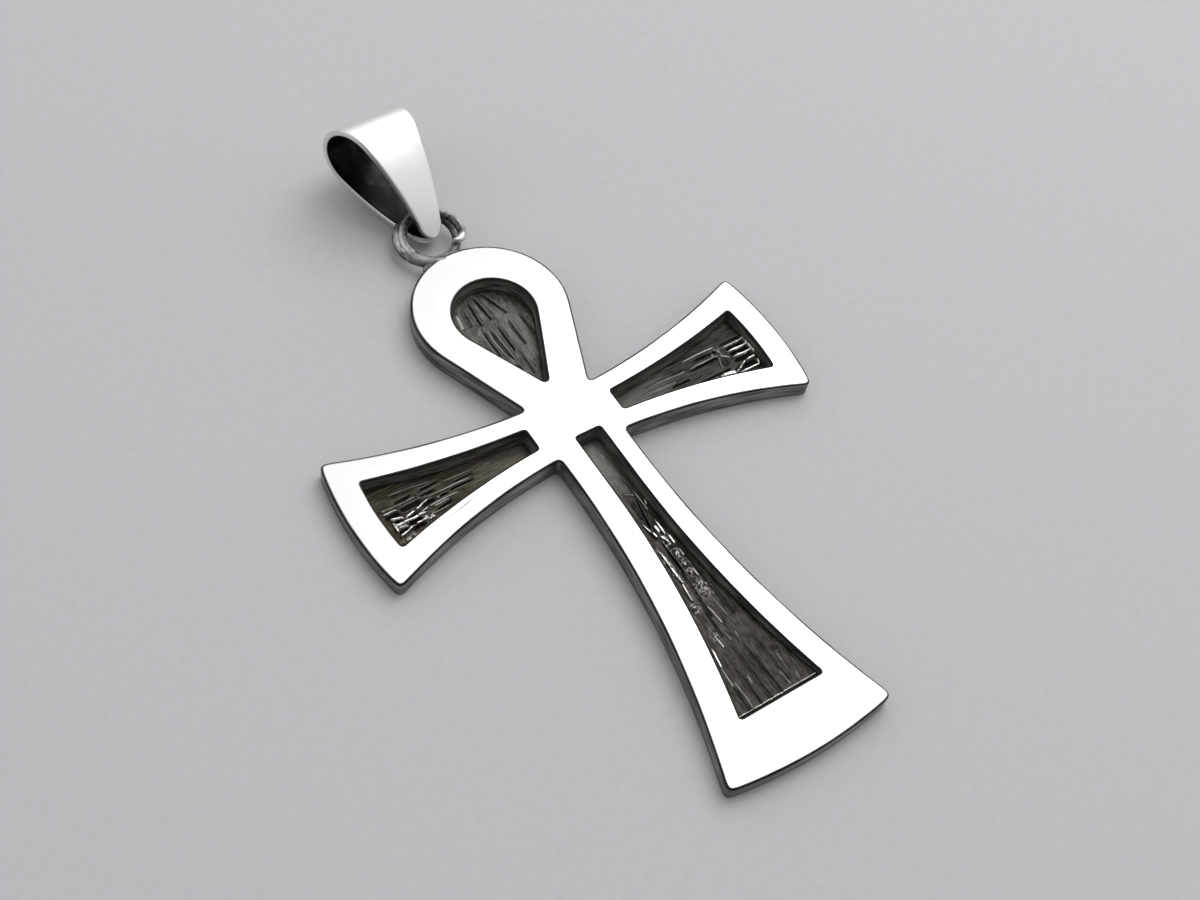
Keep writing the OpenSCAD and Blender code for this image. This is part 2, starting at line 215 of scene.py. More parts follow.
def stem_window():
    """Straight down to its waist, then flared to a straight foot."""
    y = np.linspace(-STEM_WIN_TOP, -STEM_WIN_FOOT, 600)
    x = STEM_WIN_W / 2 + flare(STEM_WIN_R, np.maximum(0, -y - STEM_WIN_WAIST))
    path = both_sides(np.vstack([[0, y[0]], np.column_stack([x, y]), [0, y[-1]]]), WINDOW_SOFT)
    return path + [STEM_WIN_X, 0]


def face_height(x, y):
    """Crown of the face: the falls along the arms and the stem, joined by their fourth-power mean."""
    across = flare(flare_r(SPAN / 2, ARM_FALL), x)
    along = flare(flare_r(STEM_LEN, FOOT_FALL), y)
    return CROSS_T - (across ** 4 + along ** 4) ** 0.25


def rolled(x, y, near):
    """The face where the wheel has rolled it off towards the outline, by the square of the nearness."""
    return face_height(x, y) - ROLL * np.clip(1 - near / ROLL_REACH, 0, 1) ** 2


# Smooth noise and tooled marks, for relief

def noise(x, y, seed):
    """Random heights from 0 to 1 on a unit lattice, eased between neighbours by 3t^2 - 2t^3."""
    lattice = np.random.default_rng(seed).random((256, 256))
    ix, iy = np.floor(x).astype(int), np.floor(y).astype(int)
    tx, ty = x - ix, y - iy
    tx, ty = tx * tx * (3 - 2 * tx), ty * ty * (3 - 2 * ty)

    def at(a, b):
        return lattice[(ix + a) % 256, (iy + b) % 256]

    low = at(0, 0) * (1 - tx) + at(1, 0) * tx
    high = at(0, 1) * (1 - tx) + at(1, 1) * tx
    return low * (1 - ty) + high * ty


def ease(t):
    """Climbs from 0 to 1 as t does, level at both ends."""
    t = np.clip(t, 0, 1)
    return t * t * (3 - 2 * t)


def mark(x, y, start, end, wide, taper, flat):
    """One tool mark from 0 to 1, the lip beside it and the soft valley it lies in.

    The mark is a parabola across, cut level at 1 where flat is above 1, grown over taper of its length and
    ended abruptly. The lip is a bell on each side of it, where the tool pushed metal up, and the valley a
    bell three times as wide as the mark.
    """
    way = np.subtract(end, start)
    run = np.hypot(*way)
    along = ((x - start[0]) * way[0] + (y - start[1]) * way[1]) / run
    across = ((x - start[0]) * way[1] - (y - start[1]) * way[0]) / run
    body = ease(along / (run * taper)) * ease((run - along) / (1.2 * wide))
    share = across / (wide * (0.45 + 0.55 * body))
    lip = np.exp(-(((np.abs(share) - 1.3) / 0.3) ** 2))
    return np.clip(flat * (1 - share ** 2), 0, 1) * body, lip * body, np.exp(-((share / 2.2) ** 2)) * body


# Meshes

class Shell:
    """Collects grids of points and the faces between them, all as arrays, until they become one mesh."""

    def __init__(self):
        self.points, self.faces, self.finishes, self.count = [], [], [], 0

    def put(self, grid):
        """Adds an array of points and returns their numbers in the same layout."""
        index = self.count + np.arange(grid.size // 3).reshape(grid.shape[:-1])
        self.points.append(grid.reshape(-1, 3))
        self.count += index.size
        return index

    def skin(self, index, finish=0, around=True):
        """Four-sided faces between neighbouring rows and columns, also from the last column to the first."""
        if around:
            index = np.hstack([index, index[:, :1]])
        quads = np.stack([index[:-1, :-1], index[:-1, 1:], index[1:, 1:], index[1:, :-1]], -1)
        self.faces += quads.reshape(-1, 4).tolist()
        self.finishes += [finish] * (quads.size // 4)

    def cap(self, row):
        """Closes an end with one face over a row of points."""
        self.faces.append(row.tolist())
        self.finishes.append(0)

    def fill(self, loops, inner=(), finish=0):
        """Triangles over the first closed row of points, left open inside the other rows.

        The inner points lie on the surface between the rows. Those in an opening are left loose.
        """
        points = np.vstack(self.points)
        index = np.concatenate(loops + [np.array(inner, int)])
        ends = np.cumsum([0] + [len(row) for row in loops])
        rings = [list(range(b - 1, a - 1, -1)) for a, b in zip(ends[:-1], ends[1:])]
        flat = [Vector(p) for p in points[index][:, :2].tolist()]
        _, _, faces, corners, _, inside = delaunay_2d_cdt(flat, [], rings, 1, 1e-7)
        kept = [f for f, owner in zip(faces, inside) if list(owner) == [0]]
        number = np.array([origin[0] for origin in corners])
        self.faces += index[number[np.array(kept)]].tolist()
        self.finishes += [finish] * len(kept)

    def mesh(self, name, materials, merge=0.0, **fields):
        """One piece of that name, without loose points, with its faces turned outwards and smooth.

        Points closer than merge are welded. Each of the fields becomes an attribute on the points.
        """
        mesh = bpy.data.meshes.new(name)
        mesh.from_pydata((np.vstack(self.points) * MM).tolist(), [], self.faces)
        mesh.polygons.foreach_set("material_index", self.finishes)
        for key, values in fields.items():
            layer = mesh.attributes.new(key, "FLOAT", "POINT")
            layer.data.foreach_set("value", np.ravel(values).astype(np.float32))
        work = bmesh.new()
        work.from_mesh(mesh)
        loose = [v for v in work.verts if not v.link_faces]
        bmesh.ops.delete(work, geom=loose, context="VERTS")
        if merge:
            bmesh.ops.remove_doubles(work, verts=work.verts, dist=merge * MM)
        bmesh.ops.recalc_face_normals(work, faces=work.faces)
        work.to_mesh(mesh)
        work.free()
        for metal in materials:
            mesh.materials.append(metal)
        mesh.polygons.foreach_set("use_smooth", [True] * len(mesh.polygons))
        piece = bpy.data.objects.new(name, mesh)
        bpy.context.scene.collection.objects.link(piece)
        return piece


def nearest(spots, path):
    """Distance from each spot to the closest point of a path."""
    return np.array([np.min(np.hypot(*(path - spot).T)) for spot in spots])


def carried(path, rows):
    """Grid of a closed path carried through rows of (distance out of the path, height)."""
    return np.stack([
        np.column_stack([shifted(path, out), np.broadcast_to(z, len(path))]) for out, z in rows
    ])


def plate():
    """The cross: its outline carried up a wall with rounded edges, a crowned face, and four pockets.

    Returns the shell and how darkly the film attribute paints each point: painted shade, a nearly black line
    on the roundings of the face and of the windows, less on the back's rounding. Its shares are given row by
    row.
    """
    shell = Shell()
    outline = cross_outline()
    turn = np.radians(np.linspace(0, 90, 6))
    # Painted shade, row by row: a third on the back's rounding, none on the walls, nearly black on the
    # roundings of face and windows, a little on the rows beside them
    back_film, wall_film, border_film = [0.3] * 6, [0] * 3, [0.1]
    face_film, window_film = [0.3, 0.7, 1, 1, 0.9, 0.5], [0.9, 1, 1, 1, 1, 0.6]
    top = rolled(*outline.T, FACE_ROUND)
    rows = [(BACK_ROUND * (math.sin(a) - 1), BACK_ROUND * (1 - math.cos(a))) for a in turn]
    rows += [(0, BACK_ROUND + (top - FACE_ROUND - BACK_ROUND) * t) for t in (0.25, 0.5, 0.75)]
    rows += [(FACE_ROUND * (math.cos(a) - 1), top - FACE_ROUND * (1 - math.sin(a))) for a in turn]
    # One more row on the face keeps the rounding's shading off it
    rows += [(-FACE_ROUND - BORDER, rolled(*outline.T, FACE_ROUND + BORDER))]
    side = shell.put(carried(outline, rows))
    shell.skin(side, finish=1)
    shell.fill([side[0]], finish=1)
    film = [np.repeat(back_film + wall_film + face_film + border_film, len(outline))]
    rims = [side[-1]]
    windows = [loop_window(), arm_window(1), arm_window(-1), stem_window()]
    # Every third point of an edge is enough to measure a distance from it
    for window in windows:
        top = rolled(*window.T, nearest(window, outline[::3]))
        rows = [(WINDOW_ROUND + BORDER, top)]
        rows += [(WINDOW_ROUND * (1 - math.sin(a)), top - WINDOW_ROUND * (1 - math.cos(a))) for a in turn]
        rows += [(0, BACK_T + (top - WINDOW_ROUND - BACK_T) * t) for t in (0.66, 0.33, 0)]
        wall = shell.put(carried(window, rows))
        shell.skin(wall, finish=2)
        shell.fill([wall[-1]], finish=2)
        film.append(np.repeat(border_film + window_film + wall_film, len(window)))
        rims.append(wall[0])
    # The face's own points: a grid whose rows are shifted by turns
    across = np.arange(-FACE_X, FACE_X, FACE_STEP)
    spots = np.stack(np.meshgrid(across, np.arange(-STEM_LEN, LOOP_Y + LOOP_R, FACE_STEP)), -1)
    spots[::2, :, 0] += FACE_STEP / 2
    spots = spots.reshape(-1, 2)
    near = nearest(spots, outline[::3])
    far = np.minimum(near, nearest(spots, np.vstack(windows)[::3])) > FACE_CLEAR
    face = spots[far]
    film.append(np.zeros(len(face)))
    inner = shell.put(np.column_stack([face, rolled(*face.T, near[far])]))
    shell.fill(rims, inner)
    return shell, np.concatenate(film)


def half_width(path, centre, axis, at):
    """Distance from a symmetric path's middle line to its edge, at places along its axis."""
    side = path[path[:, 1 - axis] > centre]
    side = side[np.argsort(side[:, axis], kind="stable")]
    return np.interp(at, side[:, axis], side[:, 1 - axis] - centre)


def flat_floor(x, y):
    """Height of a panel's metal before its tooling, the same everywhere."""
    return FLOOR_Z + 0 * x


def rising_floor(x, y):
    """That height in the stem, where it climbs evenly towards the foot."""
    return FLOOR_Z + STEM_PANEL_RISE * (-y - STEM_WIN_TOP) / (STEM_WIN_FOOT - STEM_WIN_TOP)


def panel(window, axis, centre, floor, relief, columns, end_gap):
    """A tooled slab that fills a window: a grid from edge to edge whose height is floor plus relief.

    The edge falls away by a quarter round, and a skirt goes down to the backing. The slab stops short of
    the window's lower or left end by end_gap, and shines on that end's edge if the gap is open. Returns the
    shell, and how bright and how sooty each of its points is.
    """
    path = shifted(window, -PANEL_GAP)
    low, high = path[:, axis].min() + end_gap, path[:, axis].max()
    # Rows crowd at both ends, where the edge is round
    near = np.array([0.004, 0.02, 0.045, 0.08, 0.12])
    inside = np.arange(low + 0.15, high - 0.15, PANEL_STEP)
    at = np.concatenate([low + near, inside, (high - near)[::-1]])
    half = half_width(path, centre, axis, at)
    share = np.linspace(-1, 1, columns)
    along = np.repeat(at[:, None], columns, 1)
    across = centre + half[:, None] * share
    x, y = (along, across) if axis == 0 else (across, along)
    height, bright, soot = relief(x, y)
    rim = np.minimum(half[:, None] * (1 - np.abs(share)), np.minimum(along - low, high - along))
    fall = PANEL_ROUND * (1 - np.sqrt(1 - np.clip(1 - rim / PANEL_ROUND, 0, 1) ** 2))
    z = np.maximum(floor(x, y) + height - fall, BACK_T + PANEL_LEAST)
    if end_gap:
        bright = np.maximum(bright, 0.9 * ease((low + PANEL_SHINE - along) / 0.05))
    shell = Shell()
    top = shell.put(np.stack([x, y, z], -1))
    shell.skin(top, around=False)
    border = np.concatenate([top[0], top[1:, -1], top[-1, -2::-1], top[-2:0:-1, 0]])
    points = np.vstack(shell.points)[border]
    skirt = shell.put(points * [1, 1, 0] + [0, 0, BACK_T])
    shell.skin(np.stack([border, skirt]))
    shell.cap(skirt)
    bright = np.concatenate([bright.ravel(), np.zeros(len(border))])
    soot = np.concatenate([soot.ravel(), np.ones(len(border))])
    return shell, bright, soot


# Marks on the panels: x and y of the start and of the end, half width, height (below 0 a gouge), and
# the shine of a ridge or of the lips beside a gouge
LOOP_MARKS = [
    (-0.72, 13.10, -0.90, 10.40, 0.11, -0.09, 0.10),
    (-0.22, 13.10, 0.02, 10.60, 0.10, -0.12, 0.10),
    (0.50, 13.10, 1.26, 10.60, 0.11, -0.12, 0.10),
    (-1.10, 10.60, -1.12, 7.60, 0.12, -0.09, 0.12),
    (-0.60, 10.40, -0.52, 7.30, 0.14, -0.08, 0.12),
    (-0.55, 8.00, -0.38, 5.20, 0.12, -0.10, 0.12),
    (0.08, 10.20, 0.06, 7.55, 0.10, -0.12, 0.10),
    (1.00, 10.35, 1.02, 7.65, 0.11, -0.12, 0.08),
    (1.98, 10.50, 2.14, 7.90, 0.12, -0.06, 0.06),
    (0.22, 8.00, 0.24, 5.20, 0.13, -0.05, 0.05),
    (-0.84, 10.30, -0.80, 7.60, 0.09, 0.07, 0.16),
    (-0.70, 7.90, -0.10, 5.00, 0.09, 0.07, 0.14),
    (-0.40, 12.80, -0.45, 10.60, 0.20, 0.03, 0.04),
    (0.30, 13.00, 0.62, 10.60, 0.24, 0.03, 0.04),
    (-1.95, 12.30, -2.22, 10.75, 0.14, 0.02, 0.20),
    (-1.50, 12.60, -1.60, 10.60, 0.22, -0.05, 0.04),
    # Not a tool mark: a broad faint lightening of the right half, a painted sheen
    (1.30, 12.60, 0.90, 6.00, 0.85, 0.006, 0.045),
]
LEFT_MARKS = [
    (-10.0, 1.15, -13.7, 1.55, 0.09, 0.07, 0.10),
    (-11.6, 1.30, -13.5, 1.32, 0.10, -0.05, 0),
    (-7.0, 0.62, -10.0, 0.78, 0.10, 0.06, 0.08),
    (-9.6, 0.72, -12.0, 0.66, 0.06, 0.08, 0.14),
    (-11.6, 0.62, -14.6, 0.62, 0.06, 0.10, 0.30),
    (-12.1, 0.60, -11.2, 0.22, 0.05, 0.12, 0.35),
    (-13.4, 0.34, -14.6, 0.36, 0.06, 0.14, 0.85),
    (-7.6, 0.18, -11.4, 0.20, 0.07, 0.10, 0.25),
    (-11.1, 0.12, -12.5, -0.26, 0.08, 0.18, 1.0),
    (-12.4, -0.24, -13.4, -0.50, 0.08, 0.20, 1.0),
    (-13.3, -0.48, -14.4, -0.14, 0.09, 0.22, 1.0),
    (-9.0, -0.38, -11.6, -0.45, 0.08, 0.10, 0.25),
    (-11.5, -0.42, -12.3, -0.62, 0.06, 0.14, 0.6),
    (-9.9, -0.58, -11.3, -0.60, 0.05, 0.14, 0.5),
    (-10.0, -0.98, -11.6, -1.10, 0.05, 0.14, 0.4),
    (-11.6, -0.72, -14.3, -0.75, 0.09, 0.22, 1.0),
    (-13.4, -1.05, -14.2, -0.98, 0.07, 0.20, 0.9),
    (-12.0, -1.24, -13.0, -1.20, 0.09, 0.22, 1.0),
    (-12.8, -1.18, -14.4, -1.62, 0.09, 0.24, 1.0),
    (-14.30, -0.25, -14.32, -1.30, 0.11, 0.22, 1.0),
    (-11.4, -1.26, -12.2, -1.34, 0.10, 0.16, 0.5),
    (-10.64, -0.10, -10.78, -0.20, 0.07, 0.16, 1.0),
    (-12.1, 0.87, -13.5, 0.85, 0.13, -0.10, 0.08),
    (-10.0, 0.96, -11.5, 0.94, 0.10, -0.10, 0.08),
    (-10.4, 0.50, -11.9, 0.46, 0.10, -0.10, 0.08),
    (-7.6, 0.42, -9.2, 0.40, 0.09, -0.09, 0.08),
    (-7.7, -0.02, -9.8, -0.02, 0.09, -0.13, 0.10),
    (-9.9, -0.10, -10.6, -0.12, 0.10, -0.12, 0.15),
    (-10.8, -0.12, -12.0, -0.22, 0.13, -0.16, 0.10),
    (-11.6, 0.22, -13.4, 0.18, 0.18, -0.14, 0.06),
    (-13.4, 0.08, -14.6, 0.06, 0.12, -0.17, 0),
    (-12.35, -0.55, -13.3, -0.56, 0.12, -0.17, 0),
    (-13.5, -0.50, -14.2, -0.50, 0.13, -0.17, 0),
    (-12.3, -0.96, -13.4, -0.96, 0.13, -0.17, 0),
    (-13.5, -1.24, -14.3, -1.30, 0.15, -0.17, 0),
    (-12.2, -1.42, -13.4, -1.42, 0.10, -0.17, 0),
    (-9.95, -0.78, -11.2, -0.86, 0.11, -0.17, 0.10),
]
RIGHT_MARKS = [
    (9.4, 1.14, 12.6, 1.16, 0.08, 0.08, 0.30),
    (6.0, 0.50, 9.6, 0.42, 0.14, 0.04, 0.08),
    (9.6, 0.38, 12.5, 0.38, 0.07, 0.10, 0.25),
    (5.4, 0.10, 8.6, -0.10, 0.16, 0.03, 0.06),
    (12.8, 0.78, 14.95, 0.82, 0.05, 0.20, 0.95),
    (12.9, 0.28, 14.95, 0.29, 0.09, 0.22, 1.0),
    (13.1, -0.24, 14.95, -0.30, 0.08, 0.22, 1.0),
    (13.9, -0.84, 14.85, -0.86, 0.09, 0.22, 1.0),
    (14.93, 0.85, 14.95, -0.50, 0.06, 0.20, 1.0),
    (11.4, -1.14, 12.9, -1.42, 0.18, 0.14, 0.7),
    (12.7, -1.50, 13.95, -0.88, 0.08, 0.18, 0.9),
    (12.8, -1.60, 14.7, -1.60, 0.09, 0.20, 1.0),
    (14.80, -1.05, 14.66, -1.60, 0.07, 0.20, 1.0),
    (12.42, 0.34, 13.1, -0.18, 0.05, 0.14, 0.6),
    (12.42, 0.34, 12.08, -0.80, 0.04, 0.10, 0.4),
    (10.4, 0.82, 12.5, 0.78, 0.11, -0.12, 0),
    (8.2, 0.52, 9.5, 0.54, 0.08, -0.08, 0),
    (9.4, 0.20, 12.3, 0.22, 0.07, -0.12, 0),
    (7.8, -0.36, 9.5, -0.35, 0.07, -0.10, 0),
    (9.6, -0.92, 12.6, -0.98, 0.06, -0.12, 0),
    (12.8, 1.04, 14.8, 1.06, 0.14, -0.08, 0),
    (13.1, 0.53, 14.85, 0.54, 0.16, -0.15, 0),
    (13.1, 0.02, 14.85, 0.00, 0.16, -0.14, 0),
    (13.1, -0.56, 14.8, -0.57, 0.18, -0.14, 0),
    (12.7, -1.18, 14.7, -1.25, 0.20, -0.15, 0),
    (12.3, -0.10, 12.9, -0.60, 0.30, -0.07, 0),
]
STEM_MARKS = [
    (-0.15, -4.2, 0.40, -6.2, 0.60, 0.015, 0.06),
    (-0.05, -5.9, 0.62, -6.40, 0.05, 0.10, 0.35),
    (0.74, -5.7, 0.76, -7.8, 0.06, 0.12, 0.30),
    (1.12, -6.8, 0.92, -7.4, 0.10, 0.15, 0.9),
    (0.60, -6.5, 0.16, -9.0, 0.07, -0.14, 0.06),
    (0.22, -6.4, 0.10, -8.3, 0.24, -0.05, 0.04),
    (-0.22, -8.3, 0.05, -10.0, 0.07, 0.14, 0.7),
    (-0.08, -9.3, 0.08, -10.0, 0.12, 0.17, 1.0),
    (0.42, -8.8, 0.44, -9.7, 0.12, 0.18, 1.0),
    (0.72, -8.4, 0.70, -10.0, 0.09, 0.18, 1.0),
    (0.84, -9.7, 0.84, -10.9, 0.09, 0.18, 1.0),
    (0.30, -9.7, 0.56, -10.6, 0.10, 0.18, 1.0),
    (0.15, -10.0, 0.12, -12.8, 0.09, -0.13, 0.06),
    (-0.38, -10.2, -0.48, -13.6, 0.10, 0.15, 0.9),
    (-0.42, -12.9, -0.66, -15.0, 0.09, 0.12, 0.5),
    (0.30, -11.5, 0.60, -11.6, 0.13, 0.16, 0.9),
    (0.84, -11.0, 0.86, -11.9, 0.08, 0.14, 0.5),
    (0.78, -12.6, 0.84, -13.6, 0.06, 0.12, 0.5),
    (0.42, -14.0, 0.56, -14.2, 0.13, 0.15, 1.0),
    (0.02, -15.4, 0.14, -17.2, 0.07, 0.09, 0.35),
    (0.62, -14.4, 0.80, -17.0, 0.10, 0.04, 0.06),
    (-0.88, -17.4, -0.86, -18.7, 0.07, 0.10, 0.6),
    (-0.16, -17.6, -0.12, -18.5, 0.05, 0.06, 0.25),
    (0.46, -17.9, 0.42, -18.5, 0.05, 0.05, 0.20),
    (-1.05, -15.3, -0.60, -15.4, 0.08, 0.08, 0.5),
    (-1.55, -18.1, -1.80, -19.8, 0.09, 0.10, 0.9),
    (-1.80, -19.4, -1.95, -21.2, 0.07, 0.05, 0.25),
    (-1.65, -20.6, -1.72, -23.1, 0.10, 0.04, 0.10),
    (-0.72, -20.9, -0.75, -21.6, 0.08, 0.02, 0.10),
    (1.86, -20.5, 1.88, -21.3, 0.08, 0.02, 0.06),
    (2.20, -22.2, 2.06, -22.9, 0.07, 0.02, 0.06),
    (1.30, -21.5, 1.34, -22.9, 0.07, 0.03, 0.12),
    (1.60, -20.2, 2.40, -20.3, 0.16, -0.04, 0),
    (-1.90, -20.8, -2.05, -23.2, 0.09, -0.06, 0),
    (-1.05, -20.0, -1.12, -23.2, 0.13, -0.05, 0),
    (-0.35, -18.4, -0.30, -23.2, 0.15, -0.05, 0),
    (0.40, -18.6, 0.50, -23.2, 0.15, -0.05, 0),
    (1.25, -18.2, 1.45, -22.6, 0.10, -0.05, 0),
    (0.10, -10.6, -0.20, -16.5, 0.12, -0.08, 0),
    (1.00, -10.0, 1.25, -17.0, 0.14, -0.05, 0),
    (-0.35, -15.6, -0.45, -18.0, 0.10, -0.06, 0),
]
# Places where the tool broke the surface up: x, y, reach along x and along y, height
LEFT_ROUGH = [(-12.0, -1.2, 0.4, 0.25, 0.10), (-13.6, -1.9, 0.8, 0.2, 0.04)]
RIGHT_ROUGH = [(12.0, -1.25, 0.7, 0.2, 0.08), (12.4, 0.6, 0.4, 0.3, 0.05)]
LOOP_ROUGH = [(-1.5, 9.9, 0.8, 0.5, 0.012)]
STEM_ROUGH = [
    (0.55, -10.8, 0.25, 1.0, 0.09), (0.6, -12.6, 0.3, 0.7, 0.07), (0.6, -14.4, 0.5, 0.9, 0.04),
    (-0.45, -12.4, 0.18, 1.4, 0.07), (-0.9, -15.4, 0.4, 0.4, 0.05), (-0.85, -17.8, 0.2, 0.5, 0.05),
    (0.6, -2.7, 0.25, 0.3, 0.03),
]


def tooled(marks, rough, axis, grain, seed, smooth_until, root_shine):
    """Relief of one panel: broad waves, grain that fades in, the marks of the table, and broken places.

    Marks and grain run along the axis. The grain fades in past smooth_until, and the smooth part before it is
    painted a little lighter, by an amount given for each panel: painted light where the pocket's walls keep
    light off it. Noise is read at so many lattice steps per millimetre, from a start of its own.
    """

    def relief(x, y):
        along, across = (x, y) if axis == 0 else (y, x)
        # The hand's wander moves the marks sideways by a few hundredths of a millimetre
        wander = 0.06 * (noise(along * 0.9 + 40, across * 1.3 + 40, seed) - 0.5)
        fine = 0.025 * (noise(along * 3.1 + 40, across * 3.7 + 40, seed + 1) - 0.5)
        moved = across + wander + fine
        px, py = (x, moved) if axis == 0 else (moved, y)
        # Grain is noise folded at its middle, which gives long sharp crests
        fibre = noise(along * 0.55 + 60, across * 5.5 + 60, seed + 2)
        fibre = 1 - 2 * np.abs(fibre - 0.5)
        grow = ease((np.abs(along) - smooth_until) / 4)
        height = grain * (0.25 + 0.75 * grow) * (fibre - 0.6)
        height = height + 0.05 * (noise(along * 0.4 + 20, across * 1.5 + 20, seed + 4) - 0.5)
        # Painted light: the smooth root is lightened where the pocket's walls keep light off it
        bright = root_shine * (1 - grow)
        soot = np.zeros_like(x)
        for start_x, start_y, end_x, end_y, wide, high, shine in marks:
            start, end, flat = (start_x, start_y), (end_x, end_y), 1.5 if high > 0 else 1.0
            there, lip, valley = mark(px, py, start, end, wide, 0.35, flat)
            height = height + high * there
            if high > 0:
                bright = np.maximum(bright, shine * ease(there * 2 - 0.3))
            else:
                height = height - shine * high * lip + 0.3 * high * valley
                bright = np.maximum(bright, shine * lip)
                deep = min(1, -high / 0.15)
                soot = np.maximum(soot, np.maximum(0.9 * ease(there * 1.4), 0.35 * valley) * deep)
        for middle_x, middle_y, reach_x, reach_y, high in rough:
            near = np.exp(-(((x - middle_x) / reach_x) ** 2) - ((y - middle_y) / reach_y) ** 2)
            crumb = noise(x * 5.2 + 30, y * 4.2 + 60, seed + 3)
            crumb = (1 - 2 * np.abs(crumb - 0.5)) - 0.45
            height = height + high * near * crumb
            strong = np.clip(high * 7, 0, 1)
            bright = np.maximum(bright, strong * near * ease(crumb * 3 - 0.6))
            soot = np.maximum(soot, near * ease(-crumb * 3) * strong)
        return height, bright, soot * (1 - bright)

    return relief


def turn_of_wire(side, start, end, bend, seed):
    """A turn of round wire between two angles, with round ends: a circle of wire carried along an arc.

    Side is -1 for the lower turn and 1 for the upper, which lies shifted and lifted against it. The tube's
    radius is 0.02 mm over the solid's, and falls to nothing over its last half thickness as a ball's does.
    The arc draws in by bend over its first 30 degrees, and rises by 0.3 of that. Returns the grid, how near
    each point is to the other turn's middle line, and the angles along the arc and round the wire.
    """
    centre_r, tube = RING_R - RING_WIRE / 2, RING_WIRE / 2 + 0.02
    reach = centre_r * math.radians(end - start)
    ball = tube * (1 - np.cos(np.linspace(0.12, np.pi / 2, 7)))
    along = np.concatenate([ball, np.linspace(tube, reach - tube, 170)[1:-1], reach - ball[::-1]])
    u = (math.radians(start) + along / centre_r)[:, None]
    v = np.linspace(0, 2 * np.pi, 28, endpoint=False)[None, :]
    left = np.minimum(np.minimum(along, reach - along), tube)[:, None]
    size = np.sqrt(tube ** 2 - (tube - left) ** 2)
    size = size * (1 + 0.08 * (noise(3 + 5 * u, 8 + 1.6 * np.cos(v), seed) - 0.5))
    drawn = bend * np.clip(1 - along / (centre_r * math.radians(30)), 0, 1)[:, None] ** 1.6
    out = centre_r - drawn + size * np.cos(v)
    way = np.array([math.cos(TURN_WAY), math.sin(TURN_WAY)]) * TURN_SHIFT
    x = out * np.cos(u) + side * way[0]
    y = out * np.sin(u) + side * way[1]
    z = max(0, side) * TURN_LIFT + 0.3 * drawn + size * np.sin(v)
    other_z = max(0, -side) * TURN_LIFT
    near = np.hypot(np.hypot(x + side * way[0], y + side * way[1]) - centre_r, z - other_z)
    y, z = y + RING_R, z + RING_WIRE / 2
    grid = np.stack([
        RING_X + x,
        RING_Y - RING_R + y * math.cos(RING_TILT) - z * math.sin(RING_TILT),
        RING_Z + y * math.sin(RING_TILT) + z * math.cos(RING_TILT),
    ], -1)
    return grid, near, np.degrees(u), v


def ring():
    """Two turns of one coil that touch.

    The darkening is painted shade in the groove between them, inside the lower turn and where the lower turn
    lies under the upper, with a stain that the solder's heat leaves. The lightening is painted highlight at
    the free end, along the outside of the upper turn and in patches on the lower turn's left. Angles are in
    degrees from +X towards +Y. Returns the shell, the darkening and the painted highlight.
    """
    shell = Shell()
    soot, bright = [], []
    turns = [(-1, -80, 262, 0, 21), (1, -48, 268, 0.58, 22)]
    for side, start, end, bend, seed in turns:
        grid, near, u, v = turn_of_wire(side, start, end, bend, seed)
        index = shell.put(grid)
        shell.skin(index)
        shell.cap(index[0])
        shell.cap(index[-1])
        upper, lower = side > 0, side < 0
        x, y = grid[..., 0] - RING_X, grid[..., 1] - RING_Y
        # Darkening: painted shade inside the lower turn, in the groove, and on the lower turn's right, where
        # it lies under the upper turn; a heat stain by the solder. The lower turn's start is darkened less.
        inner = 0.45 * ease((RING_R - RING_WIRE / 2 - 0.05 - np.hypot(x, y)) / 0.2) * lower
        tip = 0.85 * ease((-18 - u) / 12) * upper
        groove = ease((0.43 - near) / 0.1) * (1 - tip)
        burnt = ease((-1.6 - y) / 0.8) * ease((x + 0.6) / 0.8) * 0.5
        stained = 0.6 * lower * ease((70 - np.abs(u - 30)) / 30)
        clear = 1 - 0.8 * lower * ease((10 - u) / 20) * ease((u + 75) / 10)
        soot.append((np.maximum(np.maximum(groove, inner), np.maximum(burnt, stained)) * clear).ravel())
        # Painted highlights: the free end, the outside of the upper turn and patches on the lower turn's left
        patch = noise(u / 9 + 40, 8 + 2 * np.cos(v), seed + 5)
        outside = ease((np.cos(v - 0.5) - 0.55) / 0.3) * (0.25 + 0.6 * patch)
        left = ease((u - 120) / 40) * patch * ease((np.sin(v - 0.6) + 0.2) / 0.6)
        bright.append(np.where(upper, np.maximum(outside, tip), 0.6 * left).ravel())
    return shell, np.concatenate(soot), np.concatenate(bright)


def solder():
    """A lens of metal that fills the corner between ring and loop: an ellipse that shrinks to each end.

    Its middle line is a parabola that follows the loop's top, and noise makes it lumpy.
    """
    u = np.linspace(-1, 1, 60)[:, None]
    v = np.linspace(0, 2 * np.pi, 36, endpoint=False)[None, :]
    size = np.sqrt(np.clip(1 - u * u, 0, 1)) ** 0.8
    lump = 1 + 0.22 * (noise(5 + 5 * u, 9 + 1.6 * np.cos(v), 31) - 0.5)
    x = RING_X + SOLDER_LONG * u + 0 * v
    y = SOLDER_Y - SOLDER_BEND * (x - RING_X) ** 2 + SOLDER_WIDE * size * lump * np.cos(v)
    z = SOLDER_Z + SOLDER_HIGH * size * lump * np.sin(v)
    shell = Shell()
    shell.skin(shell.put(np.stack([x, y, z], -1)))
    return shell


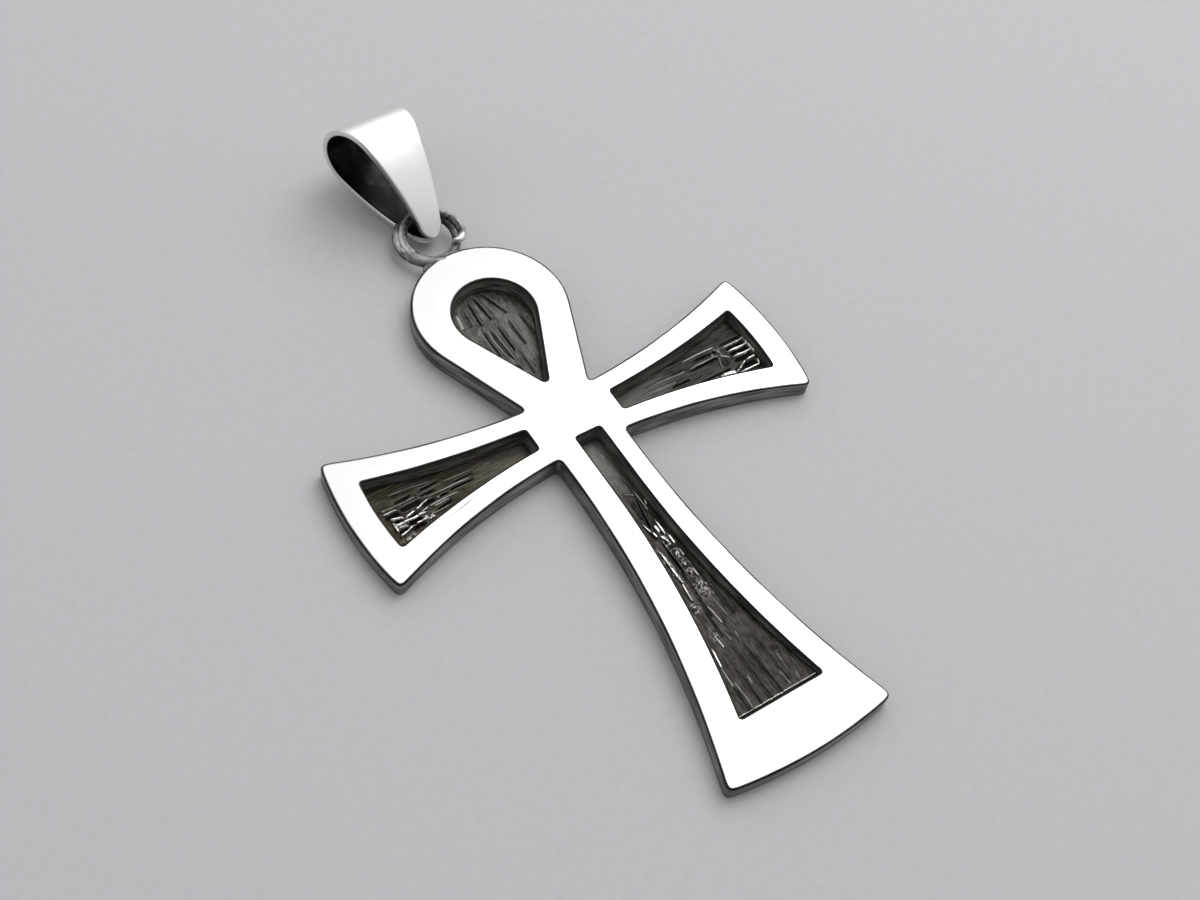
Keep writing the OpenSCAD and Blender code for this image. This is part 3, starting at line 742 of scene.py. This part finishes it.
def bail():
    """Folded sheet: a rounded strip section carried along the middle line of a teardrop.

    The line runs up the front leaf, round the end and back down the back leaf. Each leaf is an arc through
    the tip that runs into the round end without a corner. The strip's width follows the taper seen from
    above: round at the tip, then straight. Returns the shell, how far inside the fold its points are, and
    how near the sheet's cut edge.
    """
    tip = BAIL_TIP_T / 2
    run = math.hypot(BAIL_REACH, tip)
    ahead, down = BAIL_REACH / run, -tip / run
    along = (BAIL_BOW_R ** 2 - (BAIL_BOW_R - BAIL_R) ** 2 + run ** 2) / (2 * run)
    off = math.sqrt(BAIL_BOW_R ** 2 - along ** 2)
    bow = np.array([along * ahead + off * down, tip + along * down - off * ahead])
    join = math.atan2(-bow[1], BAIL_REACH - bow[0])
    leaf_r, bend_r = BAIL_BOW_R - BAIL_T / 2, BAIL_R - BAIL_T / 2
    first = math.acos(-bow[0] / leaf_r)
    # Points crowd towards the tip, where the width changes fastest
    turn = first + (join - first) * np.linspace(0, 1, 110) ** 1.5
    front = bow + leaf_r * np.column_stack([np.cos(turn), np.sin(turn)])
    turn = np.linspace(join, -join, 90)
    bend = np.column_stack([BAIL_REACH + bend_r * np.cos(turn), bend_r * np.sin(turn)])
    line = np.vstack([front[:-1], bend, (front * [1, -1])[::-1][1:]])
    way = np.gradient(line, axis=0)
    way /= np.linalg.norm(way, axis=1)[:, None]
    out = np.column_stack([-way[:, 1], way[:, 0]])
    tip_r, far = BAIL_TIP_W / 2, BAIL_REACH + BAIL_R
    x = line[:, 0]
    wide = np.where(
        x < tip_r,
        np.sqrt(np.clip(tip_r ** 2 - (tip_r - x) ** 2, 0, None)),
        tip_r + (BAIL_W / 2 - tip_r) * (x - tip_r) / (far - tip_r),
    )
    # A sliver stays at the very tip, so that no face there has an empty side
    wide = np.maximum(wide, 0.02)
    # Strip section: flats on both faces and on the edges, joined by quarter rounds
    corner = np.radians(np.linspace(0, 90, 6))
    flat = np.linspace(-1, 1, 24)[1:-1]
    section = []
    for sx, sy, start in ((1, 1, 0), (-1, 1, 90), (-1, -1, 180), (1, -1, 270)):
        a = corner + math.radians(start)
        section += [(sx, sy, BAIL_ROUND * math.cos(t), BAIL_ROUND * math.sin(t)) for t in a]
        if sy * sx > 0:
            section += [(-sx * f, sy, 0, sy * BAIL_ROUND) for f in flat]
    sx, sy, dx, dy = np.array(section).T
    # The quarter rounds keep within the width at the tip, where it runs out
    room = np.minimum(1, 0.8 * wide / BAIL_ROUND)[:, None]
    side = sx * (wide[:, None] - BAIL_ROUND * room) + dx * room
    lift = sy * (BAIL_T / 2 - BAIL_ROUND) + dy
    # The leaves are very slightly domed, as a sheet is that was bent over a mandrel
    dome = -0.05 * (side / wide[:, None]) ** 2 * ease((wide - 0.5) / 1.5)[:, None]
    place = line[:, None, :] + out[:, None, :] * (lift[None, :] + dome)[:, :, None]
    share = np.abs(dx) / BAIL_ROUND
    # Painted shade: inside the fold the sheet is painted nearly black
    inside = ease(-(lift / BAIL_T) * 6)[None, :] * ease((0.5 - share) / 0.2)[None, :] * np.ones_like(side)
    # The back leaf's edge and the round end's are kept light, not greyed: a painted highlight
    far_end = ease((x[:, None] - 5.5) / 3)
    rubbed = np.maximum(far_end, line[:, 1:] < 0)
    edge = ease((share[None, :] - 0.6) / 0.3) * (1 - 0.8 * rubbed)
    # The back leaf leans down to the floor, and the whole is rolled about its length, lifted and turned
    lean = math.asin(BAIL_R / run) - math.atan(tip / BAIL_REACH) + BAIL_SAG
    tip_z = BAIL_CLEAR + BAIL_BOW_R - bow[0] * math.sin(lean) + bow[1] * math.cos(lean)
    ahead = place[..., 0] * math.cos(lean) - place[..., 1] * math.sin(lean)
    up = place[..., 0] * math.sin(lean) + place[..., 1] * math.cos(lean) + tip_z
    left = side * math.cos(BAIL_ROLL) - up * math.sin(BAIL_ROLL)
    up = side * math.sin(BAIL_ROLL) + up * math.cos(BAIL_ROLL)
    grid = np.stack([
        BAIL_X - ahead * math.sin(BAIL_TURN) - left * math.cos(BAIL_TURN),
        BAIL_Y + ahead * math.cos(BAIL_TURN) - left * math.sin(BAIL_TURN),
        BAIL_ROLL_Z + up,
    ], -1)
    shell = Shell()
    index = shell.put(grid)
    shell.skin(index)
    shell.cap(index[0])
    shell.cap(index[-1])
    return shell, inside, edge


# Materials

def linear(colour):
    """A six-digit sRGB colour as linear light."""
    parts = [int(colour[i : i + 2], 16) / 255 for i in (0, 2, 4)]
    return [c / 12.92 if c <= 0.04045 else ((c + 0.055) / 1.055) ** 2.4 for c in parts] + [1]


def node(tree, kind, inputs=(), **settings):
    """Adds one node: settings are its own properties, inputs its sockets' values or what links to them.

    A node among the inputs is linked by the first of its outputs that is in use.
    """
    made = tree.nodes.new("ShaderNode" + kind)
    for key, value in settings.items():
        setattr(made, key, value)
    for key, value in dict(inputs).items():
        if isinstance(value, bpy.types.Node):
            value = next(socket for socket in value.outputs if socket.enabled)
        if isinstance(value, bpy.types.NodeSocket):
            tree.links.new(value, made.inputs[key])
        else:
            made.inputs[key].default_value = value
    return made


def material(name, finish, *settings):
    """A new material with the shader that a finish makes, given the tree and where patterns are read from."""
    made = bpy.data.materials.new(name)
    made.use_nodes = True
    tree = made.node_tree
    tree.nodes.clear()
    place = node(tree, "TexCoord").outputs["Object"]
    node(tree, "OutputMaterial", {"Surface": finish(tree, place, *settings)})
    return made


def arc_line(tree, place, centre, r, middle_x, reach):
    """A hairline along a circle seen from above: nearly 1 at a middle x, 0 past its reach or off the line."""
    flat = node(tree, "Mapping", {"Vector": place, "Scale": (1, 1, 0)})
    middle = (centre[0] * MM, centre[1] * MM, 0)
    away = node(tree, "VectorMath", {0: flat, 1: middle}, operation="DISTANCE")
    off = node(tree, "Math", {0: away, 1: r * MM, 2: 0.04 * MM}, operation="COMPARE")
    x = node(tree, "SeparateXYZ", {0: place})
    far = node(tree, "Math", {0: x, 1: -middle_x * MM}, operation="ADD")
    along = node(tree, "Math", {0: far}, operation="ABSOLUTE")
    fade = node(tree, "MapRange", {
        "Value": along, "From Min": 0, "From Max": reach * MM, "To Min": 0.95, "To Max": 0,
    })
    return node(tree, "Math", {0: off, 1: fade}, operation="MULTIPLY")


def polished_silver(tree, place):
    """Sterling silver, cast, filed and buffed with rouge: a clear mirror with faint buffing haze."""
    # Buffing leaves patches of haze 3 mm across, hairlines 0.1 mm apart and swells of 5 mm
    haze = node(tree, "TexNoise", {"Vector": place, "Scale": 300.0, "Detail": 3.0})
    scratch = arc_line(tree, place, SCRATCH_CENTRE, SCRATCH_R, SCRATCH_X, SCRATCH_REACH)
    stretch = node(tree, "Mapping", {"Vector": place, "Rotation": (0, 0, 0.5), "Scale": (9000, 700, 700)})
    hair = node(tree, "TexNoise", {"Vector": stretch, "Scale": 1.0, "Detail": 2.0})
    rough = node(tree, "MapRange", {
        "Value": haze, "From Min": 0.35, "From Max": 0.7, "To Min": 0.05, "To Max": 0.12,
    })
    wave = node(tree, "TexNoise", {"Vector": place, "Scale": 220.0, "Detail": 1.0})
    swell = node(tree, "Bump", {"Height": wave, "Strength": 0.25, "Distance": 0.03 * MM})
    bump = node(tree, "Bump", {"Height": hair, "Normal": swell, "Strength": 0.12, "Distance": 0.004 * MM})
    tone = node(tree, "Mix", {0: scratch, 6: linear("F3F2F1"), 7: linear("161617")}, data_type="RGBA")
    return node(tree, "BsdfPrincipled", {
        "Base Color": tone, "Metallic": 1.0, "Roughness": rough, "Normal": bump,
    })


def greyed_silver(tree, place):
    """The same silver on the cut sides, only tumbled: a soft mirror, greyed by a thin sulphide film and by
    painted shade.
    """
    # Filing and tumbling leave long streaks along the edge, about 0.4 mm high
    stretch = node(tree, "Mapping", {"Vector": place, "Scale": (350, 350, 2600)})
    streak = node(tree, "TexNoise", {"Vector": stretch, "Scale": 1.0, "Detail": 3.0})
    film = node(tree, "TexNoise", {"Vector": place, "Scale": 420.0, "Detail": 4.0})
    edge = node(tree, "Attribute", attribute_name="film").outputs["Fac"]
    clear = node(tree, "MapRange", {"Value": streak, "From Min": 0.36, "From Max": 0.64})
    # Grey well below the face's: painted shade for the darker surroundings the sides mirror, over a thin
    # sulphide film
    tone = node(tree, "Mix", {0: clear, 6: linear("636364"), 7: linear("A9A9AA")}, data_type="RGBA")
    # Painted shade: the film attribute paints the rounded edge where face and side meet nearly black, a
    # painted dark reflection
    dark = node(tree, "Mix", {0: edge, 6: tone, 7: linear("19191B")}, data_type="RGBA")
    rough = node(tree, "MapRange", {
        "Value": film, "From Min": 0.3, "From Max": 0.7, "To Min": 0.22, "To Max": 0.42,
    })
    bump = node(tree, "Bump", {"Height": streak, "Strength": 0.5, "Distance": 0.03 * MM})
    return node(tree, "BsdfPrincipled", {
        "Base Color": dark, "Metallic": 1.0, "Roughness": rough, "Normal": bump,
    })


def window_silver(tree, place):
    """Silver of the pocket walls under a thick sulphide film: dull, dark grey and half scattering."""
    # Streaks along the wall, about 0.3 mm high
    stretch = node(tree, "Mapping", {"Vector": place, "Scale": (500, 500, 3500)})
    streak = node(tree, "TexNoise", {"Vector": stretch, "Scale": 1.0, "Detail": 3.0})
    edge = node(tree, "Attribute", attribute_name="film").outputs["Fac"]
    clear = node(tree, "MapRange", {"Value": streak, "From Min": 0.36, "From Max": 0.64})
    tone = node(tree, "Mix", {0: clear, 6: linear("4D4C48"), 7: linear("A4A29C")}, data_type="RGBA")
    # Painted shade: the film attribute paints the rounding into the window nearly black
    dark = node(tree, "Mix", {0: edge, 6: tone, 7: linear("131314")}, data_type="RGBA")
    bump = node(tree, "Bump", {"Height": streak, "Strength": 0.4, "Distance": 0.02 * MM})
    return node(tree, "BsdfPrincipled", {
        "Base Color": dark, "Metallic": 0.55, "Roughness": 0.5, "Normal": bump,
    })


def blackened_silver(tree, place, dark, light, scale):
    """Silver blackened in liver of sulphur, then rubbed: a brown-black satin film, bright on the ridges."""
    bright = node(tree, "Attribute", attribute_name="bright").outputs["Fac"]
    soot = node(tree, "Attribute", attribute_name="soot").outputs["Fac"]
    # The film is uneven over a few tenths of a millimetre, and drawn out along the tooling
    stretch = node(tree, "Mapping", {"Vector": place, "Scale": scale})
    film = node(tree, "TexNoise", {"Vector": stretch, "Scale": 1.0, "Detail": 6.0, "Roughness": 0.68})
    patchy = node(tree, "MapRange", {"Value": film, "From Min": 0.32, "From Max": 0.68})
    # Cast grain; a real one is 0.05 mm, drawn at 0.15 mm so that it shows
    grain = node(tree, "TexNoise", {"Vector": place, "Scale": 6500.0, "Detail": 2.0})
    tone = node(tree, "Mix", {0: patchy, 6: linear(dark), 7: linear(light)}, data_type="RGBA")
    sooty = node(tree, "Mix", {0: soot, 6: tone, 7: linear("0D0C0B")}, data_type="RGBA")
    # The bright attribute: wear rubbed on ridges and lips, painted light on the smooth roots, a painted sheen
    # on the loop's right half
    worn = node(tree, "Mix", {0: bright, 6: sooty, 7: linear("EFEDE9")}, data_type="RGBA")
    rough = node(tree, "MapRange", {"Value": bright, "To Min": 0.44, "To Max": 0.2})
    bump = node(tree, "Bump", {"Height": film, "Strength": 0.5, "Distance": 0.04 * MM})
    pits = node(tree, "Bump", {"Height": grain, "Normal": bump, "Strength": 0.5, "Distance": 0.012 * MM})
    return node(tree, "BsdfPrincipled", {
        "Base Color": worn, "Metallic": 1.0, "Roughness": rough, "Normal": pits,
    })


def ring_silver(tree, place):
    """Drawn silver wire, soldered and pickled: a frosty grey-white skin with stains that the fire leaves,
    painted shade and painted highlights.
    """
    soot = node(tree, "Attribute", attribute_name="soot").outputs["Fac"]
    bright = node(tree, "Attribute", attribute_name="bright").outputs["Fac"]
    # Stains and frost are in patches about 0.4 mm across
    stain = node(tree, "TexNoise", {"Vector": place, "Scale": 2600.0, "Detail": 5.0, "Roughness": 0.7})
    patchy = node(tree, "MapRange", {"Value": stain, "From Min": 0.36, "From Max": 0.64})
    tone = node(tree, "Mix", {0: patchy, 6: linear("313132"), 7: linear("8C8B89")}, data_type="RGBA")
    # The darkening attribute: a heat stain by the solder and painted shade
    dark = node(tree, "Mix", {0: soot, 6: tone, 7: linear("202022")}, data_type="RGBA")
    # Painted highlights from the bright attribute
    worn = node(tree, "Mix", {0: bright, 6: dark, 7: linear("F4F3F1")}, data_type="RGBA")
    bump = node(tree, "Bump", {"Height": stain, "Strength": 0.7, "Distance": 0.06 * MM})
    return node(tree, "BsdfPrincipled", {
        "Base Color": worn, "Metallic": 0.7, "Roughness": 0.34, "Normal": bump,
    })


def solder_silver(tree, place):
    """Silver solder as it froze: grey, a little lumpy and duller than the wire."""
    # Lumps about 0.5 mm across
    lump = node(tree, "TexNoise", {"Vector": place, "Scale": 2200.0, "Detail": 4.0})
    tone = node(tree, "Mix", {0: lump, 6: linear("4A4947"), 7: linear("A09E9A")}, data_type="RGBA")
    bump = node(tree, "Bump", {"Height": lump, "Strength": 0.7, "Distance": 0.06 * MM})
    return node(tree, "BsdfPrincipled", {
        "Base Color": tone, "Metallic": 0.7, "Roughness": 0.42, "Normal": bump,
    })


def satin_silver(tree, place):
    """Silver sheet, satin-brushed outside and painted nearly black inside the fold as painted shade: a soft
    broad shine.
    """
    inside = node(tree, "Attribute", attribute_name="inside").outputs["Fac"]
    edge = node(tree, "Attribute", attribute_name="edge").outputs["Fac"]
    # Brush lines run along the leaves; real ones are 0.03 mm apart, drawn at 0.1 mm so that they show
    stretch = node(tree, "Mapping", {"Vector": place, "Scale": (10000, 600, 600)})
    brush = node(tree, "TexNoise", {"Vector": stretch, "Scale": 1.0, "Detail": 2.0})
    smudge = node(tree, "TexNoise", {"Vector": place, "Scale": 700.0, "Detail": 5.0})
    # The cut edge is filed, not brushed, and has greyed
    outer = node(tree, "Mix", {0: edge, 6: linear("F0EFEE"), 7: linear("8C8C8F")}, data_type="RGBA")
    touched = node(tree, "MapRange", {"Value": smudge, "From Min": 0.48, "From Max": 0.68})
    # Painted shade inside the fold, with faint smudges
    within = node(tree, "Mix", {0: touched, 6: linear("19191A"), 7: linear("2E2E30")}, data_type="RGBA")
    tone = node(tree, "Mix", {0: inside, 6: outer, 7: within}, data_type="RGBA")
    rough = node(tree, "MapRange", {
        "Value": smudge, "From Min": 0.3, "From Max": 0.7, "To Min": 0.28, "To Max": 0.36,
    })
    bump = node(tree, "Bump", {"Height": brush, "Strength": 0.2, "Distance": 0.005 * MM})
    return node(tree, "BsdfPrincipled", {
        "Base Color": tone, "Metallic": 1.0, "Roughness": rough, "Normal": bump,
    })


# The object

silver = material("polished_silver", polished_silver)
sides = material("greyed_silver", greyed_silver)
walls = material("window_silver", window_silver)
# The plate's film attribute is painted shade along its rounded edges
shell, film = plate()
plate_piece = shell.mesh("polished_cross", [silver, sides, walls], film=film)
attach(plate_piece, "root")
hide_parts("cross_frame")

warm = material("blackened_silver_loop", blackened_silver, "2D2D2A", "5D5C57", (4200, 2200, 900))
brown = material("blackened_silver_left", blackened_silver, "211E19", "474137", (1200, 5000, 900))
grey = material("blackened_silver_right", blackened_silver, "1E1E1C", "42413D", (1200, 5000, 900))
cool = material("blackened_silver_stem", blackened_silver, "1C1B19", "494642", (5000, 1400, 900))
loop_relief = tooled(LOOP_MARKS, LOOP_ROUGH, axis=1, grain=0.02, seed=3, smooth_until=4, root_shine=0)
left_relief = tooled(LEFT_MARKS, LEFT_ROUGH, axis=0, grain=0.025, seed=11, smooth_until=6, root_shine=0.03)
right_relief = tooled(RIGHT_MARKS, RIGHT_ROUGH, axis=0, grain=0.025, seed=17, smooth_until=5, root_shine=0.06)
stem_relief = tooled(STEM_MARKS, STEM_ROUGH, axis=1, grain=0.035, seed=23, smooth_until=3.5, root_shine=0.09)
# The solid that each replaces, its window, the axis it runs along and the place of its middle line, its
# floor and relief, how many points it has across, the gap at its end, and its material
PANELS = [
    ("loop_panel", loop_window(), 1, 0, flat_floor, loop_relief, 150, 0, warm),
    ("left_arm_panel", arm_window(-1), 0, ARMS_Y, flat_floor, left_relief, 140, 0, brown),
    ("right_arm_panel", arm_window(1), 0, ARMS_Y, flat_floor, right_relief, 140, 0, grey),
    ("stem_panel", stem_window(), 1, STEM_WIN_X, rising_floor, stem_relief, 150, 0.16, cool),
]
for name, window, axis, centre, floor, relief, columns, end_gap, metal in PANELS:
    shell, bright, soot = panel(window, axis, centre, floor, relief, columns, end_gap)
    piece = shell.mesh("tooled_" + name, [metal], bright=bright, soot=soot)
    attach(piece, "root")
    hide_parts(name)

shell, soot, bright = ring()
ring_piece = shell.mesh("wire_ring", [material("ring_silver", ring_silver)], soot=soot, bright=bright)
solder_piece = solder().mesh("solder_fillet", [material("solder_silver", solder_silver)], merge=0.001)
for piece in (ring_piece, solder_piece):
    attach(piece, "root")
    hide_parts("cross_frame")

shell, inside, edge = bail()
bail_piece = shell.mesh("folded_bail", [material("satin_silver", satin_silver)], inside=inside, edge=edge)
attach(bail_piece, "root")
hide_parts("bail")


# Floor, lights and camera

def matt_board(tree, place):
    """Pale studio board, painted matt, with specks just under a millimetre across."""
    speck = node(tree, "TexNoise", {"Vector": place, "Scale": 1500.0, "Detail": 3.0})
    tone = node(tree, "Mix", {0: speck, 6: linear("BFC0C2"), 7: linear("C8C9CB")}, data_type="RGBA")
    return node(tree, "BsdfPrincipled", {"Base Color": tone, "Roughness": 0.75})


bpy.ops.mesh.primitive_plane_add(size=6, location=(0, 0, 0))
floor_piece = bpy.context.object
floor_piece.name = "studio_floor"
floor_piece.data.materials.append(material("pale_floor", matt_board))


def softbox(name, towards, distance, size, power, aside=0.0, spin=0.0):
    """A rectangular area light in a direction from the object, facing it.

    It is turned by spin in its own plane, and moved aside along its first side.
    """
    lamp = bpy.data.lights.new(name, "AREA")
    lamp.shape = "RECTANGLE"
    lamp.size, lamp.size_y = size
    lamp.energy = power
    piece = bpy.data.objects.new(name, lamp)
    way = Vector(towards).normalized()
    turn = way.to_track_quat("Z", "Y") @ Quaternion((0, 0, 1), math.radians(spin))
    piece.location = way * distance + turn @ Vector((aside, 0, 0))
    piece.rotation_euler = turn.to_euler()
    bpy.context.scene.collection.objects.link(piece)


# The face mirrors the first three boxes to the camera, one behind the other. Past the edge of the
# second it greys a little. The bail's leaf mirrors the fourth, its bend the fifth, and left-hand edges
# the last.
FACE_WAY, FACE_SPIN = (0.40, 0.40, 0.83), -17
softbox("face_box", FACE_WAY, 0.42, (0.46, 0.46), 0.49, 0, FACE_SPIN)
softbox("face_box_step", FACE_WAY, 0.43, (0.30, 0.46), 0.16, -0.082, FACE_SPIN)
softbox("face_box_core", FACE_WAY, 0.44, (0.26, 0.46), 0.61, -0.102, FACE_SPIN)
softbox("bail_box", (0.78, -0.30, 0.55), 0.42, (0.34, 0.46), 0.22)
softbox("back_box", (0.25, 0.85, 0.36), 0.42, (0.50, 0.24), 0.20)
softbox("left_box", (-0.82, 0.40, 0.40), 0.42, (0.30, 0.30), 0.22)

world = bpy.data.worlds.new("studio")
bpy.context.scene.world = world
world.use_nodes = True
world.node_tree.nodes["Background"].inputs["Color"].default_value = (0.35, 0.35, 0.355, 1)

# The photo's camera, solved from the cross's outline: its place, and its turn in degrees
CAMERA_AT, CAMERA_TURN = (-47.04, -50.59, 100.72), (33.423, -7.375, -33.599)
lens = bpy.data.cameras.new("photo_camera")
lens.sensor_width = 36
lens.lens = 54
lens.clip_start = 0.005
camera = bpy.data.objects.new("photo_camera", lens)
camera.location = Vector(CAMERA_AT) * MM
camera.rotation_euler = Euler([math.radians(a) for a in CAMERA_TURN])
bpy.context.scene.collection.objects.link(camera)
bpy.context.scene.camera = camera
bpy.context.scene.view_settings.view_transform = "Standard"
